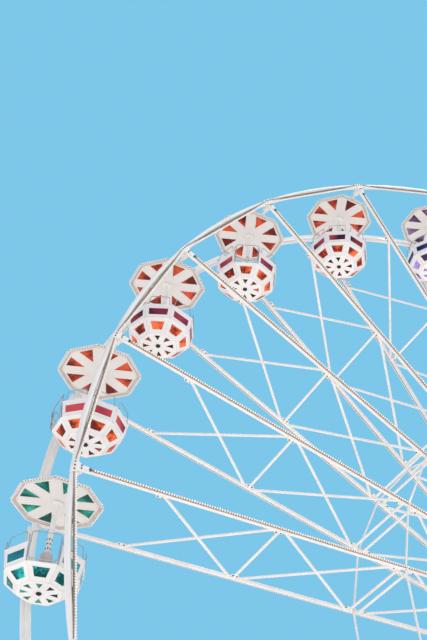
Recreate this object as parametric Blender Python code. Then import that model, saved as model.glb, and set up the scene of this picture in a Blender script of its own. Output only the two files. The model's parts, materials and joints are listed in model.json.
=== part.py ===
"""A 33 m fairground wheel with twenty-four level cabins.

Metres, +Z up, the ground at Z = 0. The wheel and each cabin turn about lines along Y.
"""

from math import ceil, cos, pi, radians, sin

import bmesh
import bpy
from mathutils import Vector

# Wheel: places on it are given by a radius, an angle from +X towards +Z, and a distance along the axle
CABIN_COUNT = 24
PITCH = 2 * pi / CABIN_COUNT
FIRST_ANGLE = radians(182.236)
HUB_HEIGHT = 18.0
SEAT_GAP = 0.0003

RIM_RADIUS = 15.0
RIM_HALF_SPACING = 1.2083
HUB_HALF_SPACING = 1.109
RIM_TUBE_RADIUS = 0.0775
TUBE_SIDES = 6
RIM_SEGMENTS_PER_BAY = 3

HUB_FLANGE_RADIUS = 1.05
HUB_FLANGE_THICKNESS = 0.16
HUB_BARREL_RADIUS = 0.42
AXLE_RADIUS = 0.20
AXLE_SIDES = 16
AXLE_HALF_LENGTH = 2.35

# Spokes and the bracing between the front and the back spoke of a pair
SPOKE_TUBE_RADIUS = 0.055
BRACE_BAYS = ((13.0, 10.25), (10.05, 7.13), (6.67, 3.70), (3.50, 1.40))
STRUT_RADII = (10.15, 7.03, 6.77, 3.60)
RING_TIE_RADIUS = 6.9
BRACE_SIDES = 3
BRACE_SIZE = 0.040
CROSSED_BRACE_SIZE = 0.037
STRUT_SIZE = 0.042
RING_TIE_SIZE = 0.036
PAIRS_PER_SECTOR = 3

# Brackets on the spokes' outer ends, which hold the cabins' axles
PIVOT_RADIUS = 14.9
BRACKET_INNER_FACE = 1.0
BRACKET_FOOT_FACE = 1.19
BRACKET_LOW = 14.52
BRACKET_STEP = 14.80
BRACKET_HIGH = 15.02
BRACKET_HALF_WIDTH = 0.10

# Cabins, as radii to their corners and heights from their axle
CABIN_SIDES = 8
CABINS_PER_COLOUR = 4
ROD_SIDES = 6
CABIN_AXLE_RADIUS = 0.045
HANGER_HALF_LENGTH = 0.09
HANGER_HALF_WIDTH = 0.16
HANGER_LOW = -0.13
HANGER_HIGH = 0.06
POLE_RADIUS = 0.06
CEILING = (0.90, -0.158)
EAVE_INNER = (0.975, -0.20)
EAVE_OUTER = (0.993, -0.20)
EAVE_TOP = (0.993, -0.135)
CANOPY_TOP = (0.12, -0.10)
TUB_TOP = (0.867, -1.607)
TUB_KNEE = (0.792, -2.049)
TUB_BOTTOM = (0.480, -2.316)
TUB_WALL = 0.030
FLOOR_THICKNESS = 0.030
BENCH_HEIGHT = -1.900
BENCH_BACK_RADIUS = 0.801
BENCH_FRONT_RADIUS = 0.50
FLOOR_RADIUS = 0.47

# Where each tub's doorway faces, from +X towards +Y; the tubs had been turned by their riders
DOORWAY_DEGREES = (252.2, 181.5, 63.3, 244.6, 56.0, 300.0)
DOORWAY_STEP = 137.5

# Stand
BEARING_INNER_FACE = 1.45
BEARING_OUTER_FACE = 2.15
BEARING_HALF_WIDTH = 0.78
BEARING_TOP_HALF_WIDTH = 0.42
BEARING_BASE = -0.45
BEARING_SHOULDER = 0.10
BEARING_HIGH = 0.50
BORE_OVERHANG = 0.5
LEG_TOP = (0.50, 1.80)
LEG_TOP_SIZE = 0.46
LEG_FOOT = (7.0, 4.2)
LEG_FOOT_SIZE = 0.60
SILL_HEIGHT = 0.40
SILL_HALF_WIDTH = 0.40
SILL_HALF_LENGTH = 7.70
CROSS_SILL_HALF_WIDTH = 0.22
CROSS_SILL_HEIGHT = 0.32
TIE_HEIGHTS = (6.0, 6.4)
TIE_HALF_DEPTH = 0.14


def clear_scene():
    for thing in list(bpy.data.objects):
        bpy.data.objects.remove(thing, do_unlink=True)


def paint(name, colour, roughness, metallic=0.0):
    """A plain finish with the piece's colour."""
    finish = bpy.data.materials.new(name)
    finish.use_nodes = True
    shader = finish.node_tree.nodes["Principled BSDF"]
    shader.inputs["Base Color"].default_value = (*colour, 1.0)
    shader.inputs["Roughness"].default_value = roughness
    shader.inputs["Metallic"].default_value = metallic
    return finish


def spoke_angle(number):
    return FIRST_ANGLE - PITCH * number


def on_wheel(radius, angle, along):
    """A point of the wheel, measured from its centre."""
    return Vector((radius * cos(angle), along, radius * sin(angle)))


def spoke_offset(radius):
    """How far a spoke's middle lies from the wheel's middle plane, at a radius."""
    share = (radius - HUB_FLANGE_RADIUS) / (RIM_RADIUS - HUB_FLANGE_RADIUS)
    return HUB_HALF_SPACING + (RIM_HALF_SPACING - HUB_HALF_SPACING) * share


def polygon(sides, radius, turn=0.0):
    """A regular polygon's corners as pairs; a turn of half a side puts flats on the axes."""
    steps = [turn + 2 * pi * i / sides for i in range(sides)]
    return [(radius * cos(a), radius * sin(a)) for a in steps]


def skin(bm, loops, closed=False):
    """Joins equal loops of points with faces. Open ends are capped; closed loops meet in a ring."""
    rings = [[bm.verts.new(point) for point in loop] for loop in loops]
    pairs = list(zip(rings, rings[1:]))
    if closed:
        pairs.append((rings[-1], rings[0]))
    for near, far in pairs:
        for i in range(len(near)):
            j = (i + 1) % len(near)
            bm.faces.new((near[i], near[j], far[j], far[i]))
    if not closed:
        bm.faces.new(list(reversed(rings[0])))
        bm.faces.new(rings[-1])


def box(bm, low, high):
    floor = [(low[0], low[1]), (high[0], low[1]), (high[0], high[1]), (low[0], high[1])]
    skin(bm, [[(x, y, z) for x, y in floor] for z in (low[2], high[2])])


def bar(bm, start, end, side, size):
    """A straight bar of few sides, with one edge towards the side; size is from its middle to an edge."""
    u = side.normalized()
    v = (end - start).cross(side).normalized()
    section = [u * a + v * b for a, b in polygon(BRACE_SIDES, size)]
    skin(bm, [[middle + corner for corner in section] for middle in (start, end)])


def rod_along_y(bm, sides, radius, half_length, turn=0.0):
    ring = polygon(sides, radius, turn)
    skin(bm, [[(x, y, z) for x, z in ring] for y in (-half_length, half_length)])


def piece(name, bm, finish, parent=None, place=(0, 0, 0)):
    """Makes the mesh an object of that name, with its faces outwards and its origin at its place."""
    bmesh.ops.recalc_face_normals(bm, faces=bm.faces[:])
    mesh = bpy.data.meshes.new(name)
    bm.to_mesh(mesh)
    bm.free()
    thing = bpy.data.objects.new(name, mesh)
    thing.location = place
    thing.parent = parent
    bpy.context.scene.collection.objects.link(thing)
    mesh.materials.append(finish)
    return thing


def fuse(thing, addition):
    """Makes one solid of the two, and of the bars that cross inside each."""
    join = thing.modifiers.new("join", "BOOLEAN")
    join.operation = "UNION"
    join.solver = "EXACT"
    join.use_self = True
    join.object = addition
    bpy.context.view_layer.update()
    whole = bpy.data.meshes.new_from_object(thing.evaluated_get(bpy.context.evaluated_depsgraph_get()))
    thing.modifiers.remove(join)
    thing.data = whole
    bpy.data.objects.remove(addition, do_unlink=True)


def make_rim(name, side, finish, wheel):
    """A ring of straight tube lengths, with a flat of the tube turned to the middle at every spoke."""
    count = CABIN_COUNT * RIM_SEGMENTS_PER_BAY
    step = 2 * pi / count
    section = polygon(TUBE_SIDES, RIM_TUBE_RADIUS, pi / 2)
    loops = []
    for i in range(count):
        angle = FIRST_ANGLE + step * (i + 0.5)
        loops.append([on_wheel(RIM_RADIUS + dr, angle, side * RIM_HALF_SPACING + dy) for dr, dy in section])
    bm = bmesh.new()
    skin(bm, loops, closed=True)
    piece(name, bm, finish, wheel)


def spoke_end_radius():
    """Where the rim tube's inner flat stands at a spoke, less the gap."""
    half_step = pi / (CABIN_COUNT * RIM_SEGMENTS_PER_BAY)
    return (RIM_RADIUS - RIM_TUBE_RADIUS * cos(pi / TUBE_SIDES)) * cos(half_step) - SEAT_GAP


def add_spokes(bm, angle):
    """The front and the back spoke of a pair, with ends square to the radius and flats to the neighbours."""
    section = polygon(TUBE_SIDES, SPOKE_TUBE_RADIUS, pi / 2)
    corners = [Vector((-across * sin(angle), along, across * cos(angle))) for across, along in section]
    for side in (-1, 1):
        ends = [
            on_wheel(radius, angle, side * spoke_offset(radius))
            for radius in (HUB_FLANGE_RADIUS + SEAT_GAP, spoke_end_radius())
        ]
        skin(bm, [[end + corner for corner in corners] for end in ends])


def add_bracing(bm, angle):
    """Crossed braces in each bay between the two spokes of a pair, and the struts between bays."""
    tangent = Vector((-sin(angle), 0, cos(angle)))
    for outer, inner in BRACE_BAYS:
        for side, size in ((-1, BRACE_SIZE), (1, CROSSED_BRACE_SIZE)):
            start = on_wheel(outer, angle, side * spoke_offset(outer))
            end = on_wheel(inner, angle, -side * spoke_offset(inner))
            bar(bm, start, end, tangent, size)
    for radius in STRUT_RADII:
        start = on_wheel(radius, angle, -spoke_offset(radius))
        end = on_wheel(radius, angle, spoke_offset(radius))
        bar(bm, start, end, tangent, STRUT_SIZE)


def add_brackets(bm, angle):
    """Stepped plates inside the spokes' ends, with the faces that the cabin's axle runs against."""
    tangent = Vector((-sin(angle), 0, cos(angle))) * BRACKET_HALF_WIDTH
    rim_side = RIM_HALF_SPACING - RIM_TUBE_RADIUS - SEAT_GAP
    outline = (
        (BRACKET_INNER_FACE, BRACKET_LOW),
        (BRACKET_FOOT_FACE, BRACKET_LOW),
        (BRACKET_FOOT_FACE, BRACKET_STEP),
        (rim_side, BRACKET_STEP),
        (rim_side, BRACKET_HIGH),
        (BRACKET_INNER_FACE, BRACKET_HIGH),
    )
    for side in (-1, 1):
        face = [on_wheel(radius, angle, side * along) for along, radius in outline]
        skin(bm, [[point + shift for point in face] for shift in (-tangent, tangent)])


def add_ring_ties(bm, angle, next_angle, last):
    """Ties to the next pair of spokes. The last of a sector stops short of the next sector's spoke."""
    reach = RING_TIE_RADIUS * 2 * sin(PITCH / 2)
    flat = SPOKE_TUBE_RADIUS * cos(pi / TUBE_SIDES)
    clearance = flat / cos(PITCH / 2) + RING_TIE_SIZE * sin(PITCH / 2) + SEAT_GAP
    short = clearance / reach if last else 0.0
    for side in (-1, 1):
        along = side * spoke_offset(RING_TIE_RADIUS)
        start = on_wheel(RING_TIE_RADIUS, angle, along)
        end = on_wheel(RING_TIE_RADIUS, next_angle, along)
        bar(bm, start, end.lerp(start, short), Vector((0, side, 0)), RING_TIE_SIZE)


def make_spoke_sector(numbers, finish, wheel):
    """Neighbouring pairs of spokes as one solid, named after the cabins that they carry."""
    name = f"spokes_{numbers[0] + 1:02d}_to_{numbers[-1] + 1:02d}"
    spokes = bmesh.new()
    lattice = bmesh.new()
    for number in numbers:
        angle = spoke_angle(number)
        add_spokes(spokes, angle)
        add_bracing(lattice, angle)
        add_brackets(lattice, angle)
        add_ring_ties(lattice, angle, spoke_angle(number + 1), number == numbers[-1])
    sector = piece(name, spokes, finish, wheel)
    fuse(sector, piece("lattice", lattice, finish, wheel))


def make_hub(finish, wheel):
    """A bored barrel with a flange at each end and a nose that runs against the bearing."""
    half = HUB_FLANGE_THICKNESS / 2
    nose = BEARING_INNER_FACE - SEAT_GAP
    half_profile = (
        (HUB_BARREL_RADIUS, HUB_HALF_SPACING - half),
        (HUB_FLANGE_RADIUS, HUB_HALF_SPACING - half),
        (HUB_FLANGE_RADIUS, HUB_HALF_SPACING + half),
        (HUB_BARREL_RADIUS, HUB_HALF_SPACING + half),
        (HUB_BARREL_RADIUS, nose),
        (AXLE_RADIUS + SEAT_GAP, nose),
    )
    profile = [(r, y) for r, y in half_profile] + [(r, -y) for r, y in reversed(half_profile)]
    corner = 1 / cos(PITCH / 2)
    loops = []
    for i in range(CABIN_COUNT):
        angle = FIRST_ANGLE + PITCH * (i + 0.5)
        loops.append([on_wheel(radius * corner, angle, along) for radius, along in profile])
    bm = bmesh.new()
    skin(bm, loops, closed=True)
    piece("hub", bm, finish, wheel)


def add_tub(bm, doorway):
    """An open eight-sided tub with a ring bench, both left out over the lower panel at the doorway."""
    turn = radians(doorway) - pi / CABIN_SIDES
    levels = {
        "top": TUB_TOP,
        "knee": TUB_KNEE,
        "bottom": TUB_BOTTOM,
        "inner_top": (TUB_TOP[0] - TUB_WALL, TUB_TOP[1]),
        "bench_back": (BENCH_BACK_RADIUS, BENCH_HEIGHT),
        "bench_front": (BENCH_FRONT_RADIUS, BENCH_HEIGHT),
        "floor": (FLOOR_RADIUS, TUB_BOTTOM[1] + FLOOR_THICKNESS),
        "inner_knee": (TUB_KNEE[0] - TUB_WALL, TUB_KNEE[1]),
    }
    ring = {
        level: [bm.verts.new((x, y, height)) for x, y in polygon(CABIN_SIDES, radius, turn)]
        for level, (radius, height) in levels.items()
    }

    def panel(i, upper, lower):
        j = (i + 1) % CABIN_SIDES
        bm.faces.new((ring[upper][i], ring[upper][j], ring[lower][j], ring[lower][i]))

    bm.faces.new(ring["bottom"])
    bm.faces.new(ring["floor"])
    for i in range(CABIN_SIDES):
        panel(i, "knee", "bottom")
    for i in range(1, CABIN_SIDES):
        for upper, lower in (
            ("top", "knee"),
            ("top", "inner_top"),
            ("inner_top", "bench_back"),
            ("bench_back", "bench_front"),
            ("bench_front", "floor"),
        ):
            panel(i, upper, lower)
    panel(0, "knee", "inner_knee")
    panel(0, "inner_knee", "floor")
    cheek = ("knee", "top", "inner_top", "bench_back", "bench_front", "floor", "inner_knee")
    for corner in (0, 1):
        bm.faces.new([ring[level][corner] for level in cheek])


def make_cabin(number, finish, wheel):
    """A canopy and a tub on one pole, hung from an axle that runs between the brackets of a spoke pair."""
    shells = bmesh.new()
    turn = pi / CABIN_SIDES
    canopy = (CEILING, EAVE_INNER, EAVE_OUTER, EAVE_TOP, CANOPY_TOP)
    skin(shells, [[(x, y, z) for x, y in polygon(CABIN_SIDES, r, turn)] for r, z in canopy])
    known = number < len(DOORWAY_DEGREES)
    add_tub(shells, DOORWAY_DEGREES[number] if known else DOORWAY_STEP * number)

    hanger = bmesh.new()
    rod_along_y(hanger, ROD_SIDES, CABIN_AXLE_RADIUS, BRACKET_INNER_FACE - SEAT_GAP)
    low = (-HANGER_HALF_LENGTH, -HANGER_HALF_WIDTH, HANGER_LOW)
    box(hanger, low, (HANGER_HALF_LENGTH, HANGER_HALF_WIDTH, HANGER_HIGH))
    pole = polygon(ROD_SIDES, POLE_RADIUS)
    reach = (HANGER_LOW, TUB_BOTTOM[1] + FLOOR_THICKNESS / 2)
    skin(hanger, [[(x, y, z) for x, y in pole] for z in reach])

    place = on_wheel(PIVOT_RADIUS, spoke_angle(number), 0)
    cabin = piece(f"cabin_{number + 1:02d}", shells, finish, wheel, place)
    fuse(cabin, piece("hanger", hanger, finish, wheel, place))


def make_bearing(name, side, finish, steel):
    """A shouldered block, bored for the axle."""
    right_half = (
        (BEARING_HALF_WIDTH, BEARING_BASE),
        (BEARING_HALF_WIDTH, BEARING_SHOULDER),
        (BEARING_TOP_HALF_WIDTH, BEARING_HIGH),
    )
    outline = [*right_half, *((-x, z) for x, z in reversed(right_half))]
    faces = (side * BEARING_INNER_FACE, side * BEARING_OUTER_FACE)
    bm = bmesh.new()
    skin(bm, [[(x, y, HUB_HEIGHT + z) for x, z in outline] for y in faces])
    block = piece(name, bm, finish)
    bore = bmesh.new()
    bore_radius = AXLE_RADIUS + SEAT_GAP / cos(pi / AXLE_SIDES)
    rod_along_y(bore, AXLE_SIDES, bore_radius, BEARING_OUTER_FACE + BORE_OVERHANG)
    cutter = piece(f"{name}_bore", bore, steel, place=(0, 0, HUB_HEIGHT))
    cutter.hide_render = True
    cutter.display_type = "WIRE"
    cut = block.modifiers.new("bore", "BOOLEAN")
    cut.operation = "DIFFERENCE"
    cut.solver = "EXACT"
    cut.object = cutter


def leg_levels():
    return SILL_HEIGHT + SEAT_GAP, HUB_HEIGHT + BEARING_BASE - SEAT_GAP


def leg_section(height):
    """The middle of a leg and half its size, at a height."""
    low, high = leg_levels()
    share = (height - low) / (high - low)
    across = LEG_FOOT[0] + (LEG_TOP[0] - LEG_FOOT[0]) * share
    along = LEG_FOOT[1] + (LEG_TOP[1] - LEG_FOOT[1]) * share
    return across, along, (LEG_FOOT_SIZE + (LEG_TOP_SIZE - LEG_FOOT_SIZE) * share) / 2


def make_leg(name, hand, side, finish):
    loops = []
    for height in leg_levels():
        across, along, half = leg_section(height)
        corners = ((-half, -half), (half, -half), (half, half), (-half, half))
        loops.append([(hand * across + dx, side * along + dy, height) for dx, dy in corners])
    bm = bmesh.new()
    skin(bm, loops)
    piece(name, bm, finish)


def make_tie(name, side, finish):
    """A level beam between the two legs of a side, cut to their slope."""
    middle = side * leg_section(sum(TIE_HEIGHTS) / 2)[1]
    loops = []
    for hand in (-1, 1):
        loop = []
        for height, order in zip(TIE_HEIGHTS, (1, -1)):
            across, _, half = leg_section(height)
            end = hand * (across - half - SEAT_GAP)
            loop += [(end, middle + order * dy, height) for dy in (-TIE_HALF_DEPTH, TIE_HALF_DEPTH)]
        loops.append(loop)
    bm = bmesh.new()
    skin(bm, loops)
    piece(name, bm, finish)


def make_stand(white, steel):
    axle = bmesh.new()
    rod_along_y(axle, AXLE_SIDES, AXLE_RADIUS, AXLE_HALF_LENGTH)
    piece("axle", axle, steel, place=(0, 0, HUB_HEIGHT))
    inner = LEG_FOOT[1] - SILL_HALF_WIDTH
    for word, side in (("front", -1), ("back", 1)):
        make_bearing(f"{word}_bearing", side, white, steel)
        make_tie(f"{word}_tie", side, white)
        for hand_word, hand in (("left", -1), ("right", 1)):
            make_leg(f"{word}_{hand_word}_leg", hand, side, white)
        sill = bmesh.new()
        ends = sorted((side * inner, side * (inner + 2 * SILL_HALF_WIDTH)))
        box(sill, (-SILL_HALF_LENGTH, ends[0], 0), (SILL_HALF_LENGTH, ends[1], SILL_HEIGHT))
        piece(f"{word}_sill", sill, white)
    for word, hand in (("left", -1), ("right", 1)):
        sill = bmesh.new()
        middle = hand * LEG_FOOT[0]
        low = (middle - CROSS_SILL_HALF_WIDTH, -inner + SEAT_GAP, 0)
        high = (middle + CROSS_SILL_HALF_WIDTH, inner - SEAT_GAP, CROSS_SILL_HEIGHT)
        box(sill, low, high)
        piece(f"{word}_sill", sill, white)


def main():
    clear_scene()
    white = paint("white_paint", (0.86, 0.84, 0.82), 0.45)
    steel = paint("axle_steel", (0.35, 0.35, 0.37), 0.35, 0.9)
    cabin_paints = (
        paint("green_cabin", (0.05, 0.42, 0.36), 0.4),
        paint("orange_cabin", (0.80, 0.28, 0.16), 0.4),
        paint("violet_cabin", (0.42, 0.24, 0.62), 0.4),
    )
    wheel = bpy.data.objects.new("wheel_centre", None)
    wheel.location = (0, 0, HUB_HEIGHT)
    bpy.context.scene.collection.objects.link(wheel)

    make_rim("front_rim", -1, white, wheel)
    make_rim("back_rim", 1, white, wheel)
    make_hub(white, wheel)
    for first in range(0, CABIN_COUNT, PAIRS_PER_SECTOR):
        make_spoke_sector(range(first, first + PAIRS_PER_SECTOR), white, wheel)
    for number in range(CABIN_COUNT):
        group = ceil(number / CABINS_PER_COLOUR)
        make_cabin(number, cabin_paints[group % len(cabin_paints)], wheel)
    make_stand(white, steel)


main()
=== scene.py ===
"""Looks of a fairground wheel with lamp-lined spokes and twenty-four level cabins.

Every piece is modelled at its true size, once where it repeats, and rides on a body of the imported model.
All sizes are in metres. The wheel's radii are from its axle, and half spacings from its middle plane.
"""

import json
from math import ceil, cos, pi, radians, sin

import bmesh
import bpy
from mathutils import Matrix, Vector

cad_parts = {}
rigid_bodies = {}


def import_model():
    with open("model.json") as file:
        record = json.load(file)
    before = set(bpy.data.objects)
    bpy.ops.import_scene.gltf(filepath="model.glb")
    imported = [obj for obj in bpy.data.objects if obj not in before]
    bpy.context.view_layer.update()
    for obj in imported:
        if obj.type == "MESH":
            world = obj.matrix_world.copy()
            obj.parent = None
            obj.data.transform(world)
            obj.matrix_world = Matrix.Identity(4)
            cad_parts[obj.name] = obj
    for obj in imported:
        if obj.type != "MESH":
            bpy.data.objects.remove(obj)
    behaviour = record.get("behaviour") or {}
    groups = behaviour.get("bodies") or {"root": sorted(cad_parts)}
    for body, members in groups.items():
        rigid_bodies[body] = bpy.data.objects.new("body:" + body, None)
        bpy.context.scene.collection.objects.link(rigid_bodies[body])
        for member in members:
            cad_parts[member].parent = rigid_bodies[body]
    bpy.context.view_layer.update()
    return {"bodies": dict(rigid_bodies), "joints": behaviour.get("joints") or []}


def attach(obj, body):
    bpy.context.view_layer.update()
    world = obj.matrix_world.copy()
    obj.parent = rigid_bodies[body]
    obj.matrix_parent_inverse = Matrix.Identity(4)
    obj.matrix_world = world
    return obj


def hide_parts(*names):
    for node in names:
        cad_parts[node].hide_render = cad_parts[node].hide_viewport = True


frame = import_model()

# Wheel
CABIN_COUNT = sum(body.startswith("cabin") for body in frame["bodies"])
PITCH = 2 * pi / CABIN_COUNT
FIRST_ANGLE = radians(182.236)
HUB_HEIGHT = next(joint["pos_m"][2] for joint in frame["joints"] if joint["name"] == "wheel_spin")
RIM_RADIUS = 15.0
RIM_HALF_SPACING = 1.2083
RIM_TUBE = 0.0735
RIM_TUBE_SIDES = 12
RIM_STEPS = 144
RIM_SLEEVE = ((RIM_TUBE, -0.13), (0.0785, -0.122), (0.0785, 0.122), (RIM_TUBE, 0.13))
HUB_HALF_SPACING = 1.109
HUB_FLANGE_RADIUS = 1.05
HUB_FLANGE_HALF = 0.08
HUB_BARREL_RADIUS = 0.42
HUB_NOSE = 1.449
HUB_BOLT_CIRCLES = ((0.93, -0.055), (0.93, 0.055), (0.80, 0.0))
PAIRS_PER_SECTOR = 3

# Spokes and bracing
SPOKE_TUBE = 0.050
SPOKE_START = 1.0505
SPOKE_END = 14.93
SPOKE_JOINT = 6.9
JOINT_BOLT_CIRCLE = 0.064
BRACE_BAYS = ((13.0, 10.25), (10.05, 7.13), (6.67, 3.70), (3.50, 1.40))
STRUT_RADII = (10.15, 7.03, 6.77, 3.60)
BRACE_TUBE = 0.034
BRACE_COLLAR = 0.041
BRACE_GAP = 0.03
TIE_TUBE = 0.027
TIE_COLLAR = 0.036
COLLAR_LENGTH = 0.07
COLLAR_TAPER = 0.085
BAY_GUSSETS = (13.0, 10.15, 3.60, 1.52)
JOINT_GUSSETS = (7.10, 6.70)
GUSSET_THICKNESS = 0.010
GUSSET_BOLT_SHIFT = 0.055
GUSSET_BOLT_HEIGHT = 0.105
PLATE_THICKNESS = 0.014
RIM_PLATE_FACE = -(RIM_TUBE + PLATE_THICKNESS)
RIM_PLATE_EDGE = ((14.69, 0.045), (14.85, 0.055), (14.935, 0.125), (15.055, 0.130))
RIM_PLATE_BOLTS = ((15.01, -0.09), (15.01, 0.0), (15.01, 0.09), (14.86, -0.034), (14.86, 0.034))
BRACKET_FOOT = ((14.78, -0.050), (14.99, -0.050), (14.99, 0.050), (14.78, 0.050))
BRACKET_FOOT_FACE = 0.045
BRACKET_CHEEK = ((14.98, 0.055), (14.95, 0.19), (14.90, 0.205), (14.84, 0.19), (14.79, 0.055))
CHEEK_HALF_GAP = 0.032
CHEEK_THICKNESS = 0.012
BRACKET_INNER_FACE = 1.0
PIVOT_RADIUS = 14.9

# Lamps and their channels; places at the front rim are given towards the hub and ahead of the rim
CHANNEL_HALF_WIDTH = 0.019
CHANNEL_NEAR = 0.045
CHANNEL_FAR = 0.078
CHANNEL_LIP = 0.004
CHANNEL_START = 1.50
CHANNEL_END = 14.65
LAMP_RADIUS = 0.0255
LAMP_REACH = 0.094
LAMP_NECK = 0.006
LAMP_PITCH = 0.060
LAMP_MARGIN = 0.04
RIM_LAMPS_PER_BAY = 60
RIM_LAMP_MARGIN = 0.025
FRONT_STRIP_MARGIN = 0.155
FRONT_STRIP = ((0.090, 0.062), (0.090, 0.084), (0.112, 0.084), (0.112, 0.030), (0.150, 0.030), (0.150, 0.024),
               (0.100, 0.024), (0.100, 0.062))
FRONT_CLIP = ((0.050, 0.026), (0.050, 0.042), (0.105, 0.042), (0.105, 0.026))
FRONT_CLIP_THICKNESS = 0.012
FRONT_CLIP_SHARES = (-0.45, 0.0, 0.45)
FRONT_LAMP = (0.147, 0.052)
FRONT_LAMP_SIZE = (0.036, 0.026, 0.029)
BACK_STRIP_MARGIN = 0.135
BACK_STRIP_BASE = 0.062
BACK_STRIP_TOP = 0.155
BACK_STRIP_HALF = 0.028
BACK_STRIP_STEPS = 24
BACK_LAMP_REACH = 0.108

# Cabins: radii from the pole, at the corners of what has eight sides, and heights from the axle
SIDES = 8
FLATS_ON_AXES = pi / SIDES
CEILING = (0.90, -0.158)
EAVE_INNER = (0.975, -0.20)
EAVE_OUTER = (0.993, -0.20)
EAVE_TOP = (0.993, -0.135)
EAVE_BAND = (0.05, 0.94)
CANOPY_TOP = (0.12, -0.10)
BULB_RADIUS = 0.023
BULB_HEIGHT = -0.178
BULB_PITCH = 0.0655
BULBS_PER_EDGE = 11
TUB_TOP = (0.864, -1.655)
TUB_BAND = (0.852, -1.695)
TUB_KNEE = (0.792, -2.049)
TUB_BOTTOM = (0.480, -2.316)
TUB_INNER_TOP = (0.834, -1.655)
BENCH_BACK = (0.801, -1.90)
BENCH_FRONT = (0.50, -1.90)
TUB_FLOOR = (0.47, -2.286)
TUB_GROWTH = 1.03
HOOP_RADIUS = 0.852
HOOP_HEIGHT = 0.27
HOOP_TUBE = 0.009
HOOP_FOOT = ((0.020, 0), (0.020, 0.012), (0.012, 0.018))
DOOR_POST = ((0.800, -2.045), (0.868, -1.50))
DOOR_POST_TUBE = 0.012
DOOR_HOOP = (0.845, -1.71)
DOOR_HOOP_HALF_HEIGHT = 0.31
DOOR_HOOP_TUBE = 0.010
PANE_THICKNESS = 0.003
SEAM_RADIUS = 0.0035
POLE_RADIUS = 0.058
POLE_HOLE_ROWS = 5
POLE_HOLES_START = -1.08
POLE_HOLE_PITCH = 0.11
POLE_HOLE_RADIUS = 0.017
CABIN_AXLE = 0.044
DOORWAY_DEGREES = (252.2, 181.5, 63.3, 244.6, 56.0, 300.0)
DOORWAY_STEP = 137.5
CABINS_PER_COLOUR = 4
COLOURS = ("green", "orange", "violet")
STRIPS = {"green": "teal", "orange": "plum", "violet": "navy"}

# Stand
AXLE_LEVELS = ((0.17, -2.35), (0.20, -2.33), (0.20, 2.33), (0.17, 2.35))
BEARING_OUTLINE = ((-0.78, -0.45), (0.78, -0.45), (0.78, 0.10), (0.42, 0.50), (-0.42, 0.50), (-0.78, 0.10))
BEARING_INNER_FACE = 1.452
BEARING_DEPTH = 0.696
BEARING_RECESS = 0.03
BEARING_COVER = ((0.34, 0), (0.34, 0.035), (0.32, 0.045), (0.23, 0.045), (0.22, 0.075))
BEARING_COVER_FOOT = 0.003
BEARING_BOLTS = (0.29, 0.045)
LEG_TOP = (0.50, 1.80)
LEG_FOOT = (7.0, 4.2)
LEG_SPAN = (0.4003, 17.5497)
LEG_SIZES = (0.60, 0.46)
LEG_JOINTS = (4.6, 9.0, 13.3)
LEG_FLANGE = 0.004
LEG_FOOT_PLATE = (0.06, 0.04)
SILL_HALF_LENGTH = 7.70
SILL_SIDES = (3.8, 4.6)
SILL_HEIGHT = 0.40
CROSS_SILL_SIDES = (6.78, 7.22)
CROSS_SILL_HEIGHT = 0.32
TIE_SPAN = (6.004, 6.396)
TIE_HALF_DEPTH = 0.135
TIE_OVERLAP = 0.05

# Camera and floor: the focal length is in pixels of the picture
CAMERA_PLACE = (-19.5518, -19.6672, 3.9976)
CAMERA_FORWARD = (0.26594, 0.67222, 0.69094)
CAMERA_RIGHT = (0.89815, -0.43312, 0.07568)
FOCAL_PIXELS = 1108.9
PICTURE_PIXELS = 640
SENSOR_WIDTH = 36

FLOOR_RADIUS = 160
FLOOR_LEVEL = -0.02

MERGE = 0.0001
MIRRORED = Matrix.Scale(-1, 4, (0, 1, 0))
BOTH_SIDES = (Matrix.Identity(4), MIRRORED)

# Modelling by hand


def rest():
    """Object mode, with nothing selected."""
    if bpy.context.object and bpy.context.object.mode != "OBJECT":
        bpy.ops.object.mode_set(mode="OBJECT")
    bpy.ops.object.select_all(action="DESELECT")


def hold(thing):
    """Selects one piece alone, and makes it the active one."""
    rest()
    thing.select_set(True)
    bpy.context.view_layer.objects.active = thing


def work_on(thing):
    """Opens one piece in edit mode."""
    hold(thing)
    bpy.ops.object.mode_set(mode="EDIT")


def drop(*things):
    """Takes away patterns and cutters that have done their work."""
    for thing in things:
        bpy.data.objects.remove(thing, do_unlink=True)


def named(name):
    """Names the primitive that was just added, and sets its place into its mesh."""
    thing = bpy.context.object
    thing.name = name
    bpy.ops.object.transform_apply(location=True, rotation=True, scale=True)
    return thing


def pick(kind, test):
    """Selects only the corners, edges or faces that pass a test, in edit mode."""
    bpy.ops.mesh.select_mode(type=kind)
    bpy.ops.mesh.select_all(action="DESELECT")
    mesh = bpy.context.object.data
    shape = bmesh.from_edit_mesh(mesh)
    for part in {"VERT": shape.verts, "EDGE": shape.edges, "FACE": shape.faces}[kind]:
        if test(part):
            part.select_set(True)
    bmesh.update_edit_mesh(mesh)


def close_up(merge=0.0):
    """Merges doubles, turns the faces outwards and leaves edit mode."""
    bpy.ops.mesh.select_all(action="SELECT")
    if merge:
        bpy.ops.mesh.remove_doubles(threshold=merge)
    bpy.ops.mesh.normals_make_consistent(inside=False)
    bpy.ops.object.mode_set(mode="OBJECT")


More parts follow.
